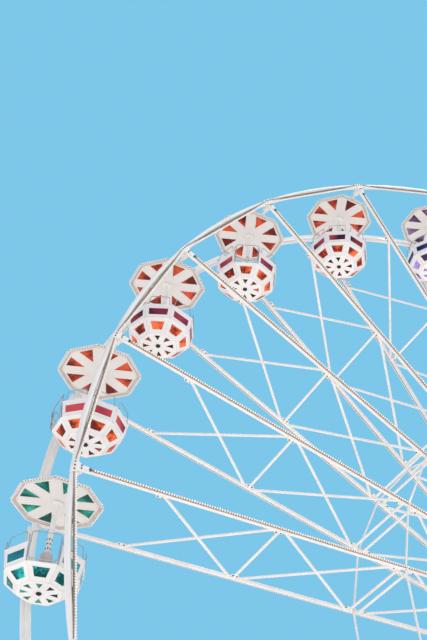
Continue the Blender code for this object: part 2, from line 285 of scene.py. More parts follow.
def stack(name, sides, levels, turn=0.0):
    """A round or many-sided body raised level by level, each a radius and a height."""
    rest()
    radius, height = levels[0]
    bpy.ops.mesh.primitive_circle_add(
        vertices=sides, radius=radius, fill_type="NGON", location=(0, 0, height), rotation=(0, 0, turn)
    )
    thing = named(name)
    bpy.ops.object.mode_set(mode="EDIT")
    bpy.ops.mesh.select_all(action="SELECT")
    for next_radius, next_height in levels[1:]:
        rise = (0, 0, next_height - height)
        bpy.ops.mesh.extrude_region_move(TRANSFORM_OT_translate={"value": rise})
        growth = next_radius / radius
        if growth != 1:
            bpy.ops.transform.resize(value=(growth, growth, 1), center_override=(0, 0, next_height))
        radius, height = next_radius, next_height
    close_up()
    return thing


def path(name, points, closed=False):
    """A line of corners, drawn one after the other, left in edit mode."""
    rest()
    bpy.ops.mesh.primitive_plane_add(size=0.01, location=points[0])
    thing = named(name)
    bpy.ops.object.mode_set(mode="EDIT")
    bpy.ops.mesh.select_mode(type="VERT")
    bpy.ops.mesh.select_all(action="SELECT")
    bpy.ops.mesh.merge(type="CENTER")
    for near, far in zip(points, points[1:]):
        step = Vector(far) - Vector(near)
        bpy.ops.mesh.extrude_vertices_move(TRANSFORM_OT_translate={"value": step})
    bpy.ops.mesh.select_all(action="SELECT")
    if closed:
        bpy.ops.mesh.edge_face_add()
    return thing


def plate(name, outline, thickness):
    """A flat plate cut to an outline and drawn out by a vector."""
    thing = path(name, outline, closed=True)
    bpy.ops.mesh.extrude_region_move(TRANSFORM_OT_translate={"value": thickness})
    close_up()
    return thing


def box(name, middle, size):
    """A squared block at its place, left in edit mode to be worked on."""
    rest()
    bpy.ops.mesh.primitive_cube_add(size=1, location=middle, scale=size)
    thing = named(name)
    bpy.ops.object.mode_set(mode="EDIT")
    return thing


def recess(border, depth):
    """Sinks the middle of each selected face, inside a border, and leaves edit mode."""
    bpy.ops.mesh.inset(thickness=border, use_individual=True)
    bpy.ops.mesh.extrude_region_shrink_fatten(TRANSFORM_OT_shrink_fatten={"value": -depth})
    close_up()


def lifted(thing):
    """Copies the selected faces to a piece of their own, and leaves edit mode."""
    bpy.ops.mesh.duplicate()
    bpy.ops.mesh.separate(type="SELECTED")
    bpy.ops.object.mode_set(mode="OBJECT")
    return next(piece for piece in bpy.context.selected_objects if piece != thing)


def rounded(points, bend):
    """The same line with each corner replaced by a short curve."""
    corners = [Vector(point) for point in points]
    line = [corners[0]]
    for before, here, after in zip(corners, corners[1:], corners[2:]):
        start = here + (before - here).normalized() * bend
        end = here + (after - here).normalized() * bend
        for share in (0.0, 0.33, 0.67, 1.0):
            line.append(start.lerp(here, share).lerp(here.lerp(end, share), share))
    return [*line, corners[-1]]


def tube(name, points, radius, sides, bend=0.0):
    """A round tube along a line of points, with its bends rounded."""
    path(name, rounded(points, bend) if bend else points)
    bpy.ops.object.mode_set(mode="OBJECT")
    bpy.ops.object.convert(target="CURVE")
    curve = bpy.context.object.data
    curve.bevel_depth = radius
    curve.bevel_resolution = (sides - 4) // 2
    curve.use_fill_caps = True
    bpy.ops.object.convert(target="MESH")
    thing = bpy.context.object
    work_on(thing)
    close_up(MERGE)
    return thing


def modified(thing, kind, **settings):
    """Gives a piece one modifier with its settings, and applies it."""
    hold(thing)
    modifier = thing.modifiers.new(kind, kind)
    for name, value in settings.items():
        setattr(modifier, name, value)
    bpy.ops.object.modifier_apply(modifier=modifier.name)
    return thing


def soften(thing, width, segments=2):
    """Rounds the sharp edges."""
    sharp = {"limit_method": "ANGLE", "angle_limit": radians(35)}
    return modified(thing, "BEVEL", width=width, segments=segments, **sharp)


def thicken(thing, thickness):
    """Gives a sheet its thickness, outwards."""
    return modified(thing, "SOLIDIFY", thickness=thickness, offset=1)


def cut(thing, cutter):
    """Takes the cutter's shape out of a piece."""
    modified(thing, "BOOLEAN", operation="DIFFERENCE", solver="EXACT", object=cutter)
    drop(cutter)
    return thing


def in_row(thing, count, step):
    """Repeats a piece along a straight row."""
    offset = {"use_relative_offset": False, "use_constant_offset": True, "constant_offset_displace": step}
    return modified(thing, "ARRAY", count=count, **offset)


def smooth(thing, angle=40):
    """Shades a piece smoothly, but for the edges sharper than an angle."""
    hold(thing)
    bpy.ops.object.shade_smooth_by_angle(angle=radians(angle))
    return thing


def join(name, *things):
    """Makes one object of several."""
    rest()
    for thing in things:
        thing.select_set(True)
    bpy.context.view_layer.objects.active = things[0]
    if len(things) > 1:
        bpy.ops.object.join()
    things[0].name = name
    return things[0]


def copied(thing, name, place):
    """A copy with its own mesh, set at a place; a mirrored one has its faces turned back outwards."""
    copy = thing.copy()
    copy.data = thing.data.copy()
    copy.name = name
    copy.data.transform(place)
    if place.determinant() < 0:
        copy.data.flip_normals()
    bpy.context.scene.collection.objects.link(copy)
    return copy


def repeat(name, thing, places):
    """Copies a piece to every place, and joins the copies."""
    copies = [copied(thing, name, place) for place in places]
    drop(thing)
    return join(name, *copies)


def laid(thing, start, end, side=(0, 0, 1)):
    """Lays a piece that was raised from the origin along the line from start towards end."""
    start = Vector(start)
    along = (Vector(end) - start).normalized()
    across = (Vector(side) - along * along.dot(Vector(side))).normalized()
    turn = Matrix((across, along.cross(across), along)).transposed().to_4x4()
    thing.data.transform(Matrix.Translation(start) @ turn)
    return thing


def round_bar(name, start, end, radius, sides=8, collar=0.0):
    """A straight round bar, with a thicker collar at each end where one is asked for."""
    length = (Vector(end) - Vector(start)).length
    levels = [(radius, 0.0), (radius, length)]
    if collar:
        levels = [
            (collar, 0.0),
            (collar, COLLAR_LENGTH),
            (radius, COLLAR_TAPER),
            (radius, length - COLLAR_TAPER),
            (collar, length - COLLAR_LENGTH),
            (collar, length),
        ]
    return laid(stack(name, sides, levels), start, end, (0.1, 0.2, 1))


def bolts_at(name, places, radius=0.017, height=0.016):
    """Hexagon bolt heads with washers and chamfered tops, at (point, outward direction) pairs."""
    washer = radius * 1.25
    levels = [(washer, 0), (washer, 0.003), (radius, 0.003), (radius, height * 0.8), (radius * 0.8, height)]
    bolt = stack(name, 6, levels)
    made = []
    for point, way in places:
        one = copied(bolt, name, Matrix.Identity(4))
        made.append(laid(one, point, Vector(point) + Vector(way), (0.3, 0.5, 0.8)))
    drop(bolt)
    return join(name, *made)


def globe(centre, turn, radius, rings=4):
    """A small globe lamp, its poles along its neck."""
    rest()
    bpy.ops.mesh.primitive_uv_sphere_add(
        segments=6, ring_count=rings, radius=radius, location=centre, rotation=turn
    )
    return named("lamp")


def fitted(thing, finish, body, node):
    """Gives a finished piece its finish and its body, and hides the node that it stands for."""
    thing.data.materials.clear()
    thing.data.materials.append(finish)
    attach(thing, body)
    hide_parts(node)
    return thing


# Finishes


def set_inputs(node, **values):
    """Sets a node's inputs by their names, with a line under each blank."""
    for name, value in values.items():
        node.inputs[name.replace("_", " ")].default_value = value
    return node


def shader_node(tree, kind, **values):
    """A new shader node with its inputs set."""
    return set_inputs(tree.nodes.new(f"ShaderNode{kind}"), **values)


def maths(tree, operation, *numbers):
    """A Math node; the numbers are for its second input and the one after it."""
    node = shader_node(tree, "Math")
    node.operation = operation
    for entry, number in zip(node.inputs[1:], numbers):
        entry.default_value = number
    return node


def wire(tree, *runs):
    """Links outputs to inputs, each given as node, output, node and input."""
    for source, output, target, entry in runs:
        tree.links.new(source.outputs[output], target.inputs[entry])


def weathering_group():
    """Colour, roughness and height of a painted surface with soft grime and fine specks."""
    tree = bpy.data.node_groups.new("weathering", "ShaderNodeTree")
    for name, kind, value in (
        ("Paint", "Color", (0.8, 0.8, 0.8, 1)),
        ("Grime", "Color", (0.5, 0.42, 0.35, 1)),
        ("Grime Amount", "Float", 0.3),
        ("Patch Scale", "Float", 3.0),
        ("Gloss", "Float", 0.4),
    ):
        socket = tree.interface.new_socket(name=name, in_out="INPUT", socket_type=f"NodeSocket{kind}")
        socket.default_value = value
    for name, kind in (("Colour", "Color"), ("Roughness", "Float"), ("Height", "Float")):
        tree.interface.new_socket(name=name, in_out="OUTPUT", socket_type=f"NodeSocket{kind}")
    given = tree.nodes.new("NodeGroupInput")
    result = tree.nodes.new("NodeGroupOutput")
    place = shader_node(tree, "TexCoord")
    patches = shader_node(tree, "TexNoise", Detail=5.0, Roughness=0.62)
    blotches = shader_node(tree, "MapRange", From_Min=0.42, From_Max=0.74)
    stretch = shader_node(tree, "Mapping", Scale=(1.0, 1.0, 0.22))
    streaks = shader_node(tree, "TexNoise", Scale=9.0, Detail=3.0)
    drips = shader_node(tree, "MapRange", From_Min=0.48, From_Max=0.78)
    specks = shader_node(tree, "TexNoise", Scale=160.0, Detail=2.0)
    dirt = maths(tree, "MAXIMUM")
    share = maths(tree, "MULTIPLY")
    duller = maths(tree, "MULTIPLY_ADD", 0.35)
    blend = shader_node(tree, "Mix")
    blend.data_type = "RGBA"
    wire(
        tree,
        (place, "Object", patches, "Vector"),
        (place, "Object", stretch, "Vector"),
        (place, "Object", specks, "Vector"),
        (stretch, "Vector", streaks, "Vector"),
        (given, "Patch Scale", patches, "Scale"),
        (patches, "Fac", blotches, "Value"),
        (streaks, "Fac", drips, "Value"),
        (blotches, "Result", dirt, 0),
        (drips, "Result", dirt, 1),
        (dirt, "Value", share, 0),
        (given, "Grime Amount", share, 1),
        (share, "Value", blend, "Factor"),
        (given, "Paint", blend, "A"),
        (given, "Grime", blend, "B"),
        (blend, "Result", result, "Colour"),
        (dirt, "Value", duller, 0),
        (given, "Gloss", duller, 2),
        (duller, "Value", result, "Roughness"),
        (specks, "Fac", result, "Height"),
    )
    return tree


def new_finish(name):
    """A material, its node tree and its shader."""
    finish = bpy.data.materials.new(name)
    finish.use_nodes = True
    return finish, finish.node_tree, finish.node_tree.nodes["Principled BSDF"]


def weathered(name, paint, grime, amount, patch_scale, gloss, bump=0.15, metallic=0.0, coat=0.0):
    """A painted, plastic or metal finish with grime in patches and runs."""
    finish, tree, shader = new_finish(name)
    wear = tree.nodes.new("ShaderNodeGroup")
    wear.node_tree = WEATHERING
    set_inputs(wear, Paint=(*paint, 1), Grime=(*grime, 1), Grime_Amount=amount)
    set_inputs(wear, Patch_Scale=patch_scale, Gloss=gloss)
    relief = shader_node(tree, "Bump", Strength=bump, Distance=0.001)
    set_inputs(shader, Metallic=metallic, Coat_Weight=coat)
    wire(
        tree,
        (wear, "Colour", shader, "Base Color"),
        (wear, "Roughness", shader, "Roughness"),
        (wear, "Height", relief, "Height"),
        (relief, "Normal", shader, "Normal"),
    )
    return finish


def tinted_pane(name, deep, middle, bright, scale, crinkle):
    """A tinted sheet with painted light and shade: dark where something would shade it, bright and glowing
    where the sun would come through.
    """
    finish, tree, shader = new_finish(name)
    place = shader_node(tree, "TexCoord")
    light = shader_node(tree, "TexNoise", Scale=scale, Detail=1.0)
    pattern = shader_node(tree, "TexNoise", Scale=9.0, Detail=3.0, Distortion=1.8)
    folds = maths(tree, "MULTIPLY_ADD", crinkle, -crinkle / 2)
    both = maths(tree, "ADD")
    ramp = shader_node(tree, "ValToRGB")
    tones = ramp.color_ramp.elements
    tones[0].position, tones[0].color = 0.40, (*deep, 1)
    tones[1].position, tones[1].color = 0.66, (*bright, 1)
    tones.new(0.52).color = (*middle, 1)
    dust = shader_node(tree, "TexNoise", Scale=40.0, Detail=4.0)
    haze = shader_node(tree, "MapRange", From_Min=0.35, From_Max=0.80, To_Min=0.14, To_Max=0.36)
    # Painted glow: each pane gives off light in its own tones, as if the sun shone through it.
    set_inputs(shader, Emission_Strength=0.28, Specular_IOR_Level=0.07)
    wire(
        tree,
        (place, "Object", light, "Vector"),
        (place, "Object", pattern, "Vector"),
        (place, "Object", dust, "Vector"),
        (pattern, "Fac", folds, 0),
        (folds, "Value", both, 0),
        (light, "Fac", both, 1),
        (both, "Value", ramp, "Fac"),
        (ramp, "Color", shader, "Base Color"),
        (ramp, "Color", shader, "Emission Color"),
        (dust, "Fac", haze, "Value"),
        (haze, "Result", shader, "Roughness"),
    )
    return finish


WEATHERING = weathering_group()
WHITE = weathered("white_paint", (0.86, 0.855, 0.84), (0.60, 0.50, 0.42), 0.30, 1.6, 0.34)
SHELL = weathered("cabin_shell", (0.84, 0.83, 0.82), (0.60, 0.52, 0.46), 0.22, 2.2, 0.26, coat=0.2)
LINING = weathered("canopy_lining", (0.77, 0.74, 0.717), (0.64, 0.56, 0.51), 0.20, 2.4, 0.42)
CHANNEL = weathered("lamp_channel", (0.40, 0.28, 0.19), (0.24, 0.16, 0.11), 0.45, 5.0, 0.45)
# The front rim's lamp channel: the spoke channel's paint, darkened with painted shade.
SHADED_RIM_CHANNEL = weathered("rim_lamp_channel_painted_shade", (0.27, 0.20, 0.15), (0.17, 0.12, 0.09), 0.45, 5.0, 0.45)
GLASS = weathered("lamp_glass", (0.95, 0.92, 0.87), (0.76, 0.68, 0.58), 0.35, 14.0, 0.12, bump=0.02, coat=0.4)
BULB = weathered("canopy_bulb", (0.90, 0.88, 0.85), (0.70, 0.64, 0.57), 0.35, 14.0, 0.12, bump=0.02, coat=0.4)
RAIL = weathered("guard_rail", (0.42, 0.45, 0.50), (0.22, 0.21, 0.21), 0.4, 12.0, 0.30, metallic=0.7)
BOLT = weathered("dark_bolt", (0.10, 0.095, 0.095), (0.22, 0.13, 0.08), 0.45, 25.0, 0.42, metallic=0.6)
TRIM = weathered("black_trim", (0.012, 0.012, 0.014), (0.035, 0.032, 0.030), 0.3, 20.0, 0.70)
BENCH = weathered("bench_top", (0.36, 0.37, 0.39), (0.20, 0.19, 0.18), 0.4, 8.0, 0.5, bump=0.4)
STEEL = weathered("axle_steel", (0.40, 0.40, 0.42), (0.16, 0.13, 0.11), 0.5, 9.0, 0.28, metallic=0.95)
SEAM = weathered("seam_strip", (0.74, 0.70, 0.67), (0.60, 0.53, 0.49), 0.4, 6.0, 0.5)
DRUM = weathered("drum_enamel", (0.72, 0.63, 0.60), (0.52, 0.42, 0.38), 0.4, 5.0, 0.4)
STRIP = weathered("bulb_strip", (0.42, 0.36, 0.32), (0.28, 0.22, 0.19), 0.4, 6.0, 0.5)
# Tan of the eave's inner slope: partly its paint, partly painted shade on that slope.
EAVE_TAN_AND_SHADE = weathered("eave_tan_and_painted_shade", (0.60, 0.535, 0.495), (0.30, 0.245, 0.22), 0.45, 5.0, 0.5)

# Each kind of pane has the scale of its light and shade and its crinkle, and each colour three tones
PANE_PATTERNS = {
    "canopy_panes": (2.2, 0.40),
    "tub_panes": (2.6, 0.60),
    "tub_ports": (4.0, 0.30),
    "tub_strips": (0.9, 0.08),
}
PANE_TONES = {
    "canopy_panes": {
        "orange": ((0.110, 0.016, 0.012), (0.33, 0.044, 0.020), (0.56, 0.080, 0.030)),
        "green": ((0.003, 0.055, 0.048), (0.007, 0.160, 0.125), (0.035, 0.36, 0.26)),
        "violet": ((0.032, 0.014, 0.040), (0.085, 0.045, 0.11), (0.21, 0.13, 0.28)),
    },
    "tub_panes": {
        "orange": ((0.130, 0.016, 0.011), (0.52, 0.075, 0.026), (0.84, 0.165, 0.055)),
        "green": ((0.003, 0.048, 0.050), (0.006, 0.17, 0.165), (0.025, 0.44, 0.40)),
        "violet": ((0.050, 0.026, 0.085), (0.16, 0.10, 0.28), (0.48, 0.35, 0.74)),
    },
    "tub_ports": {
        "orange": ((0.010, 0.006, 0.006), (0.10, 0.022, 0.015), (0.42, 0.090, 0.050)),
        "green": ((0.004, 0.016, 0.016), (0.006, 0.075, 0.068), (0.035, 0.27, 0.22)),
        "violet": ((0.010, 0.008, 0.016), (0.06, 0.035, 0.10), (0.30, 0.20, 0.48)),
    },
    "tub_strips": {
        "orange": ((0.045, 0.010, 0.024), (0.19, 0.025, 0.052), (0.48, 0.062, 0.080)),
        "green": ((0.003, 0.055, 0.09), (0.010, 0.14, 0.18), (0.028, 0.26, 0.30)),
        "violet": ((0.010, 0.014, 0.07), (0.035, 0.05, 0.20), (0.12, 0.16, 0.42)),
    },
}
PANES = {
    word: {
        colour: tinted_pane(f"{colour}_{word}", *three, *PANE_PATTERNS[word])
        for colour, three in tones.items()
    }
    for word, tones in PANE_TONES.items()
}

# Wheel


def spoke_angle(number):
    """The angle of a spoke pair above the +X direction."""
    return FIRST_ANGLE - PITCH * number


def on_pair(number):
    """The place of a spoke pair: x along its radius, y along the axle, z across it."""
    return Matrix.Translation((0, 0, HUB_HEIGHT)) @ Matrix.Rotation(-spoke_angle(number), 4, "Y")


EVERY_PAIR = [on_pair(number) for number in range(CABIN_COUNT)]


def spoke_offset(radius):
    """How far a spoke lies from the wheel's middle plane."""
    share = (radius - HUB_FLANGE_RADIUS) / (RIM_RADIUS - HUB_FLANGE_RADIUS)
    return HUB_HALF_SPACING + (RIM_HALF_SPACING - HUB_HALF_SPACING) * share


def on_front_spoke():
    """Sets a piece drawn straight along x on the front spoke, which leans out a little towards the rim."""
    slope = (RIM_HALF_SPACING - HUB_HALF_SPACING) / (RIM_RADIUS - HUB_FLANGE_RADIUS)
    lean = Matrix.Identity(4)
    lean[1][0] = -slope
    lean[1][3] = -(HUB_HALF_SPACING - slope * HUB_FLANGE_RADIUS)
    return lean


def make_spoke_tube():
    """A round spoke in two bolted lengths, with a foot plate at the hub."""
    joint = SPOKE_JOINT - SPOKE_START
    length = SPOKE_END - SPOKE_START
    flange = [(SPOKE_TUBE, 0.05), (0.060, 0.022), (0.078, 0.020), (0.078, 0.002)]
    levels = [(0.092, 0.0), (0.092, 0.018), (0.060, 0.024), (SPOKE_TUBE, 0.10)]
    levels += [(radius, joint - height) for radius, height in flange]
    levels += [(0.070, joint)]
    levels += [(radius, joint + height) for radius, height in reversed(flange)]
    levels += [(SPOKE_TUBE, length - 0.30), (SPOKE_TUBE + 0.005, length - 0.29), (SPOKE_TUBE + 0.005, length)]
    return laid(stack("spoke tube", 12, levels), (SPOKE_START, 0, 0), (SPOKE_END, 0, 0))


def make_gusset(radius, reach, height):
    """A plate welded to the spoke's inner side, where braces and struts end."""
    low, high = radius - reach, radius + reach
    trapezium = ((low, 0.040), (high, 0.040), (high - reach * 0.35, height), (low + reach * 0.35, height))
    outline = [(x, y, -GUSSET_THICKNESS / 2) for x, y in trapezium]
    return soften(plate("gusset", outline, (0, 0, GUSSET_THICKNESS)), 0.002, 1)


def make_spoke_fittings():
    """What stands on the front spoke: gussets, the rim plate and the bracket for the cabin's axle."""
    pieces = [make_gusset(radius, 0.13, 0.15) for radius in BAY_GUSSETS]
    pieces += [make_gusset(radius, 0.10, 0.14) for radius in JOINT_GUSSETS]
    outline = [(x, RIM_PLATE_FACE, -z) for x, z in RIM_PLATE_EDGE]
    outline += [(x, RIM_PLATE_FACE, z) for x, z in reversed(RIM_PLATE_EDGE)]
    foot = [(x, BRACKET_FOOT_FACE, z) for x, z in BRACKET_FOOT]
    for name, edge in (("rim plate", outline), ("bracket foot", foot)):
        pieces.append(soften(plate(name, edge, (0, PLATE_THICKNESS, 0)), 0.003, 1))
    for z in (-CHEEK_HALF_GAP - CHEEK_THICKNESS, CHEEK_HALF_GAP):
        cheek = [(x, y, z) for x, y in BRACKET_CHEEK]
        pieces.append(plate("bracket cheek", cheek, (0, 0, CHEEK_THICKNESS)))
    return join("spoke fittings", *pieces)


def make_boss():
    """The bush that holds a cabin's axle, drawn on the pair's own axes on the front side."""
    levels = [(0.070, 0.0), (0.085, 0.008), (0.085, 0.070), (0.074, 0.078), (0.074, 0.098)]
    return laid(stack("boss", 16, levels), (PIVOT_RADIUS, -BRACKET_INNER_FACE, 0), (PIVOT_RADIUS, -2, 0))


def make_bracing():
    """Crossed braces in every bay and the struts between bays, drawn on the pair's own axes."""
    bars = []
    for outer, inner in BRACE_BAYS:
        for side in (-1, 1):
            start = Vector((outer, side * spoke_offset(outer), 0))
            end = Vector((inner, -side * spoke_offset(inner), 0))
            gap = (end - start).normalized() * BRACE_GAP
            bars.append(round_bar("brace", start + gap, end - gap, BRACE_TUBE, collar=BRACE_COLLAR))
    for radius in STRUT_RADII:
        reach = spoke_offset(radius) - BRACE_GAP
        start, end = (radius, -reach, 0), (radius, reach, 0)
        bars.append(round_bar("strut", start, end, BRACE_TUBE, collar=BRACE_COLLAR))
    return join("bracing", *bars)


def make_ring_tie():
    """The thin tie to the next pair of spokes on the front side."""
    along = -spoke_offset(SPOKE_JOINT)
    end = (SPOKE_JOINT * cos(PITCH), along, -SPOKE_JOINT * sin(PITCH))
    return round_bar("ring tie", (SPOKE_JOINT, along, 0), end, TIE_TUBE, collar=TIE_COLLAR)


def make_pair_frame():
    """All white pieces of one spoke pair."""
    spoke = join("spoke", make_spoke_tube(), make_spoke_fittings())
    spoke.data.transform(on_front_spoke())
    half = join("half", spoke, make_boss(), make_ring_tie())
    both = repeat("halves", half, BOTH_SIDES)
    return smooth(join("pair frame", both, make_bracing()))


def make_pair_channels():
    """The lamp channel along the outer face of each spoke, open at the front for the lamp holders."""
    low, high = -CHANNEL_HALF_WIDTH, CHANNEL_HALF_WIDTH
    near, far, lip = -CHANNEL_NEAR, -CHANNEL_FAR, CHANNEL_LIP
    section = ((near, low), (far, low), (far, low + lip), (far + lip, low + lip),
               (far + lip, high - lip), (far, high - lip), (far, high), (near, high))
    outline = [(CHANNEL_START, y, z) for y, z in section]
    channel = plate("channel", outline, (CHANNEL_END - CHANNEL_START, 0, 0))
    channel.data.transform(on_front_spoke())
    return repeat("pair channels", channel, BOTH_SIDES)


def make_pair_lamps():
    """A row of lamps along the channel of each spoke."""
    count = int((CHANNEL_END - LAMP_MARGIN - CHANNEL_START - LAMP_MARGIN) / LAMP_PITCH) + 1
    lamp = globe((CHANNEL_START + LAMP_MARGIN, -LAMP_REACH, 0), (pi / 2, 0, 0), LAMP_RADIUS)
    work_on(lamp)
    pick("VERT", lambda corner: corner.co.y > -LAMP_REACH + LAMP_RADIUS * 0.95)
    bpy.ops.transform.translate(value=(0, LAMP_NECK, 0))
    bpy.ops.object.mode_set(mode="OBJECT")
    in_row(lamp, count, (LAMP_PITCH, 0, 0))
    lamp.data.transform(on_front_spoke())
    return smooth(repeat("pair lamps", lamp, BOTH_SIDES), 80)


def make_pair_bolts():
    """Bolt heads of the rim plates, gussets and joints of a pair, and the clip at each channel's end."""
    places = [((x, RIM_PLATE_FACE, z), (0, -1, 0)) for x, z in RIM_PLATE_BOLTS]
    for radius in BAY_GUSSETS + JOINT_GUSSETS:
        for shift in (-GUSSET_BOLT_SHIFT, GUSSET_BOLT_SHIFT):
            for side in (-1, 1):
                at = (radius + shift, GUSSET_BOLT_HEIGHT, side * GUSSET_THICKNESS / 2)
                places.append((at, (0, 0, side)))
    bolts = bolts_at("bolts", places)
    places = []
    for turn in (i * pi / 3 for i in range(6)):
        at = (SPOKE_JOINT + 0.020, JOINT_BOLT_CIRCLE * cos(turn), JOINT_BOLT_CIRCLE * sin(turn))
        places.append((at, (1, 0, 0)))
    joint = bolts_at("joint bolts", places, 0.010, 0.010)
    clip = stack("clip", 4, [(0.036, 0), (0.036, 0.05), (0.030, 0.056)], pi / 4)
    clip = laid(clip, (CHANNEL_END - 0.01, -0.066, 0), (15, -0.066, 0))
    half = join("half", bolts, joint, clip)
    half.data.transform(on_front_spoke())
    return repeat("pair bolts", half, BOTH_SIDES)


def make_spokes():
    """Copies the pieces of one pair to all pairs, and joins them three by three as the nodes are."""
    kinds = (
        ("frame", make_pair_frame(), WHITE, "white_paint"),
        ("lamp_channels", make_pair_channels(), CHANNEL, "lamp_channel"),
        ("lamps", make_pair_lamps(), GLASS, "lamp_glass"),
        ("bolts", make_pair_bolts(), BOLT, "dark_bolt"),
    )
    for first in range(0, CABIN_COUNT, PAIRS_PER_SECTOR):
        node = f"spokes_{first + 1:02d}_to_{first + PAIRS_PER_SECTOR:02d}"
        for word, pair, finish, slot in kinds:
            copies = [copied(pair, word, place) for place in EVERY_PAIR[first:first + PAIRS_PER_SECTOR]]
            fitted(join(f"{node}_{word}", *copies), finish, "wheel", node)
    drop(*(pair for _, pair, _, _ in kinds))


def make_rim_tube(name, side):
    """A round tube bent to the wheel's circle, with a sleeve over the joint at every spoke."""
    along = side * RIM_HALF_SPACING
    turns = [2 * pi * i / RIM_TUBE_SIDES for i in range(RIM_TUBE_SIDES)]
    section = [(RIM_RADIUS + RIM_TUBE * cos(turn), along + RIM_TUBE * sin(turn), 0) for turn in turns]
    circle = path(name, section, closed=True)
    bpy.ops.mesh.delete(type="ONLY_FACE")
    bpy.ops.mesh.select_all(action="SELECT")
    bpy.ops.mesh.spin(steps=RIM_STEPS, angle=2 * pi, center=(0, 0, 0), axis=(0, 1, 0))
    close_up(0.0005)
    sleeve = stack("sleeve", RIM_TUBE_SIDES, RIM_SLEEVE)
    sleeve = laid(sleeve, (RIM_RADIUS, along, 0), (RIM_RADIUS, along, 1), (1, 0, 0))
    spots = [Matrix.Rotation(-spoke_angle(number), 4, "Y") for number in range(CABIN_COUNT)]
    rim = join(name, circle, repeat("sleeves", sleeve, spots))
    rim.data.transform(Matrix.Translation((0, 0, HUB_HEIGHT)))
    return smooth(rim)


def make_front_rim_lights():
    """Straight lamp channels from spoke to spoke along the front of the rim, their lamps towards the hub.

    A channel is drawn upright, as far out as the middle of a bay, and then turned into it.
    """
    half_length = RIM_RADIUS * sin(PITCH / 2) - FRONT_STRIP_MARGIN

    def at_rim(inward, ahead, height):
        return RIM_RADIUS - inward, -RIM_HALF_SPACING - ahead, height

    channel = plate("channel", [at_rim(*pair, -half_length) for pair in FRONT_STRIP], (0, 0, 2 * half_length))
    outline = [at_rim(*pair, -FRONT_CLIP_THICKNESS) for pair in FRONT_CLIP]
    clip = plate("clip", outline, (0, 0, FRONT_CLIP_THICKNESS))
    shifts = [Matrix.Translation((0, 0, share * half_length)) for share in FRONT_CLIP_SHARES]
    channel = join("channel", channel, repeat("clips", clip, shifts))
    centre = at_rim(*FRONT_LAMP, 0)
    lamp = globe(centre, (0, -pi / 2, 0), 1.0)
    work_on(lamp)
    bpy.ops.mesh.select_all(action="SELECT")
    bpy.ops.transform.resize(value=FRONT_LAMP_SIZE, center_override=centre)
    bpy.ops.object.mode_set(mode="OBJECT")
    lamp.data.transform(Matrix.Translation((0, 0, RIM_LAMP_MARGIN - half_length)))
    step = (2 * half_length - 2 * RIM_LAMP_MARGIN) / (RIM_LAMPS_PER_BAY - 1)
    in_row(lamp, RIM_LAMPS_PER_BAY, (0, 0, step))
    bays = [place @ Matrix.Rotation(PITCH / 2, 4, "Y") for place in EVERY_PAIR]
    return repeat("rim channels", channel, bays), smooth(repeat("rim lamps", lamp, bays), 80)


def make_back_rim_lights():
    """A deep curved lamp channel on the outer side of the back rim, its lamps at the back."""
    margin = BACK_STRIP_MARGIN / RIM_RADIUS
    span = PITCH - 2 * margin
    around = {"center": (0, 0, 0), "axis": (0, 1, 0)}
    base, top, half = BACK_STRIP_BASE, BACK_STRIP_TOP, BACK_STRIP_HALF
    section = ((base, -half), (top, -half), (top, half), (base, half))
    outline = [(RIM_RADIUS + outward, RIM_HALF_SPACING + behind, 0) for outward, behind in section]
    channel = path("channel", outline, closed=True)
    bpy.ops.mesh.spin(steps=BACK_STRIP_STEPS, angle=-span, **around)
    close_up(MERGE)
    channel.data.transform(Matrix.Rotation(margin, 4, "Y"))
    centre = (RIM_RADIUS + BACK_LAMP_REACH, RIM_HALF_SPACING + half + LAMP_RADIUS - 0.003, 0)
    lamp = globe(centre, (0, -pi / 2, 0), LAMP_RADIUS)
    work_on(lamp)
    bpy.ops.mesh.select_all(action="SELECT")
    inner = span - 2 * RIM_LAMP_MARGIN / RIM_RADIUS
    bpy.ops.mesh.spin(steps=RIM_LAMPS_PER_BAY - 1, angle=-inner, dupli=True, use_auto_merge=False, **around)
    close_up()
    lamp.data.transform(Matrix.Rotation(margin + RIM_LAMP_MARGIN / RIM_RADIUS, 4, "Y"))
    return repeat("rim channels", channel, EVERY_PAIR), smooth(repeat("rim lamps", lamp, EVERY_PAIR), 80)


def make_rims():
    """Both rims: tube, lamp channels and lamps."""
    kinds = (
        # The front rim's channel takes the darkened copy, whose extra darkness is painted shade.
        ("front", -1, make_front_rim_lights, SHADED_RIM_CHANNEL, "lamp_channel"),
        ("back", 1, make_back_rim_lights, WHITE, "white_paint"),
    )
    for word, side, make_lights, channel_finish, channel_slot in kinds:
        node = f"{word}_rim"
        fitted(make_rim_tube(f"{node}_tube", side), WHITE, "wheel", node)
        channels, lamps = make_lights()
        channels.name, lamps.name = f"{node}_lamp_channel", f"{node}_lamps"
        fitted(channels, channel_finish, "wheel", node)
        fitted(lamps, GLASS, "wheel", node)


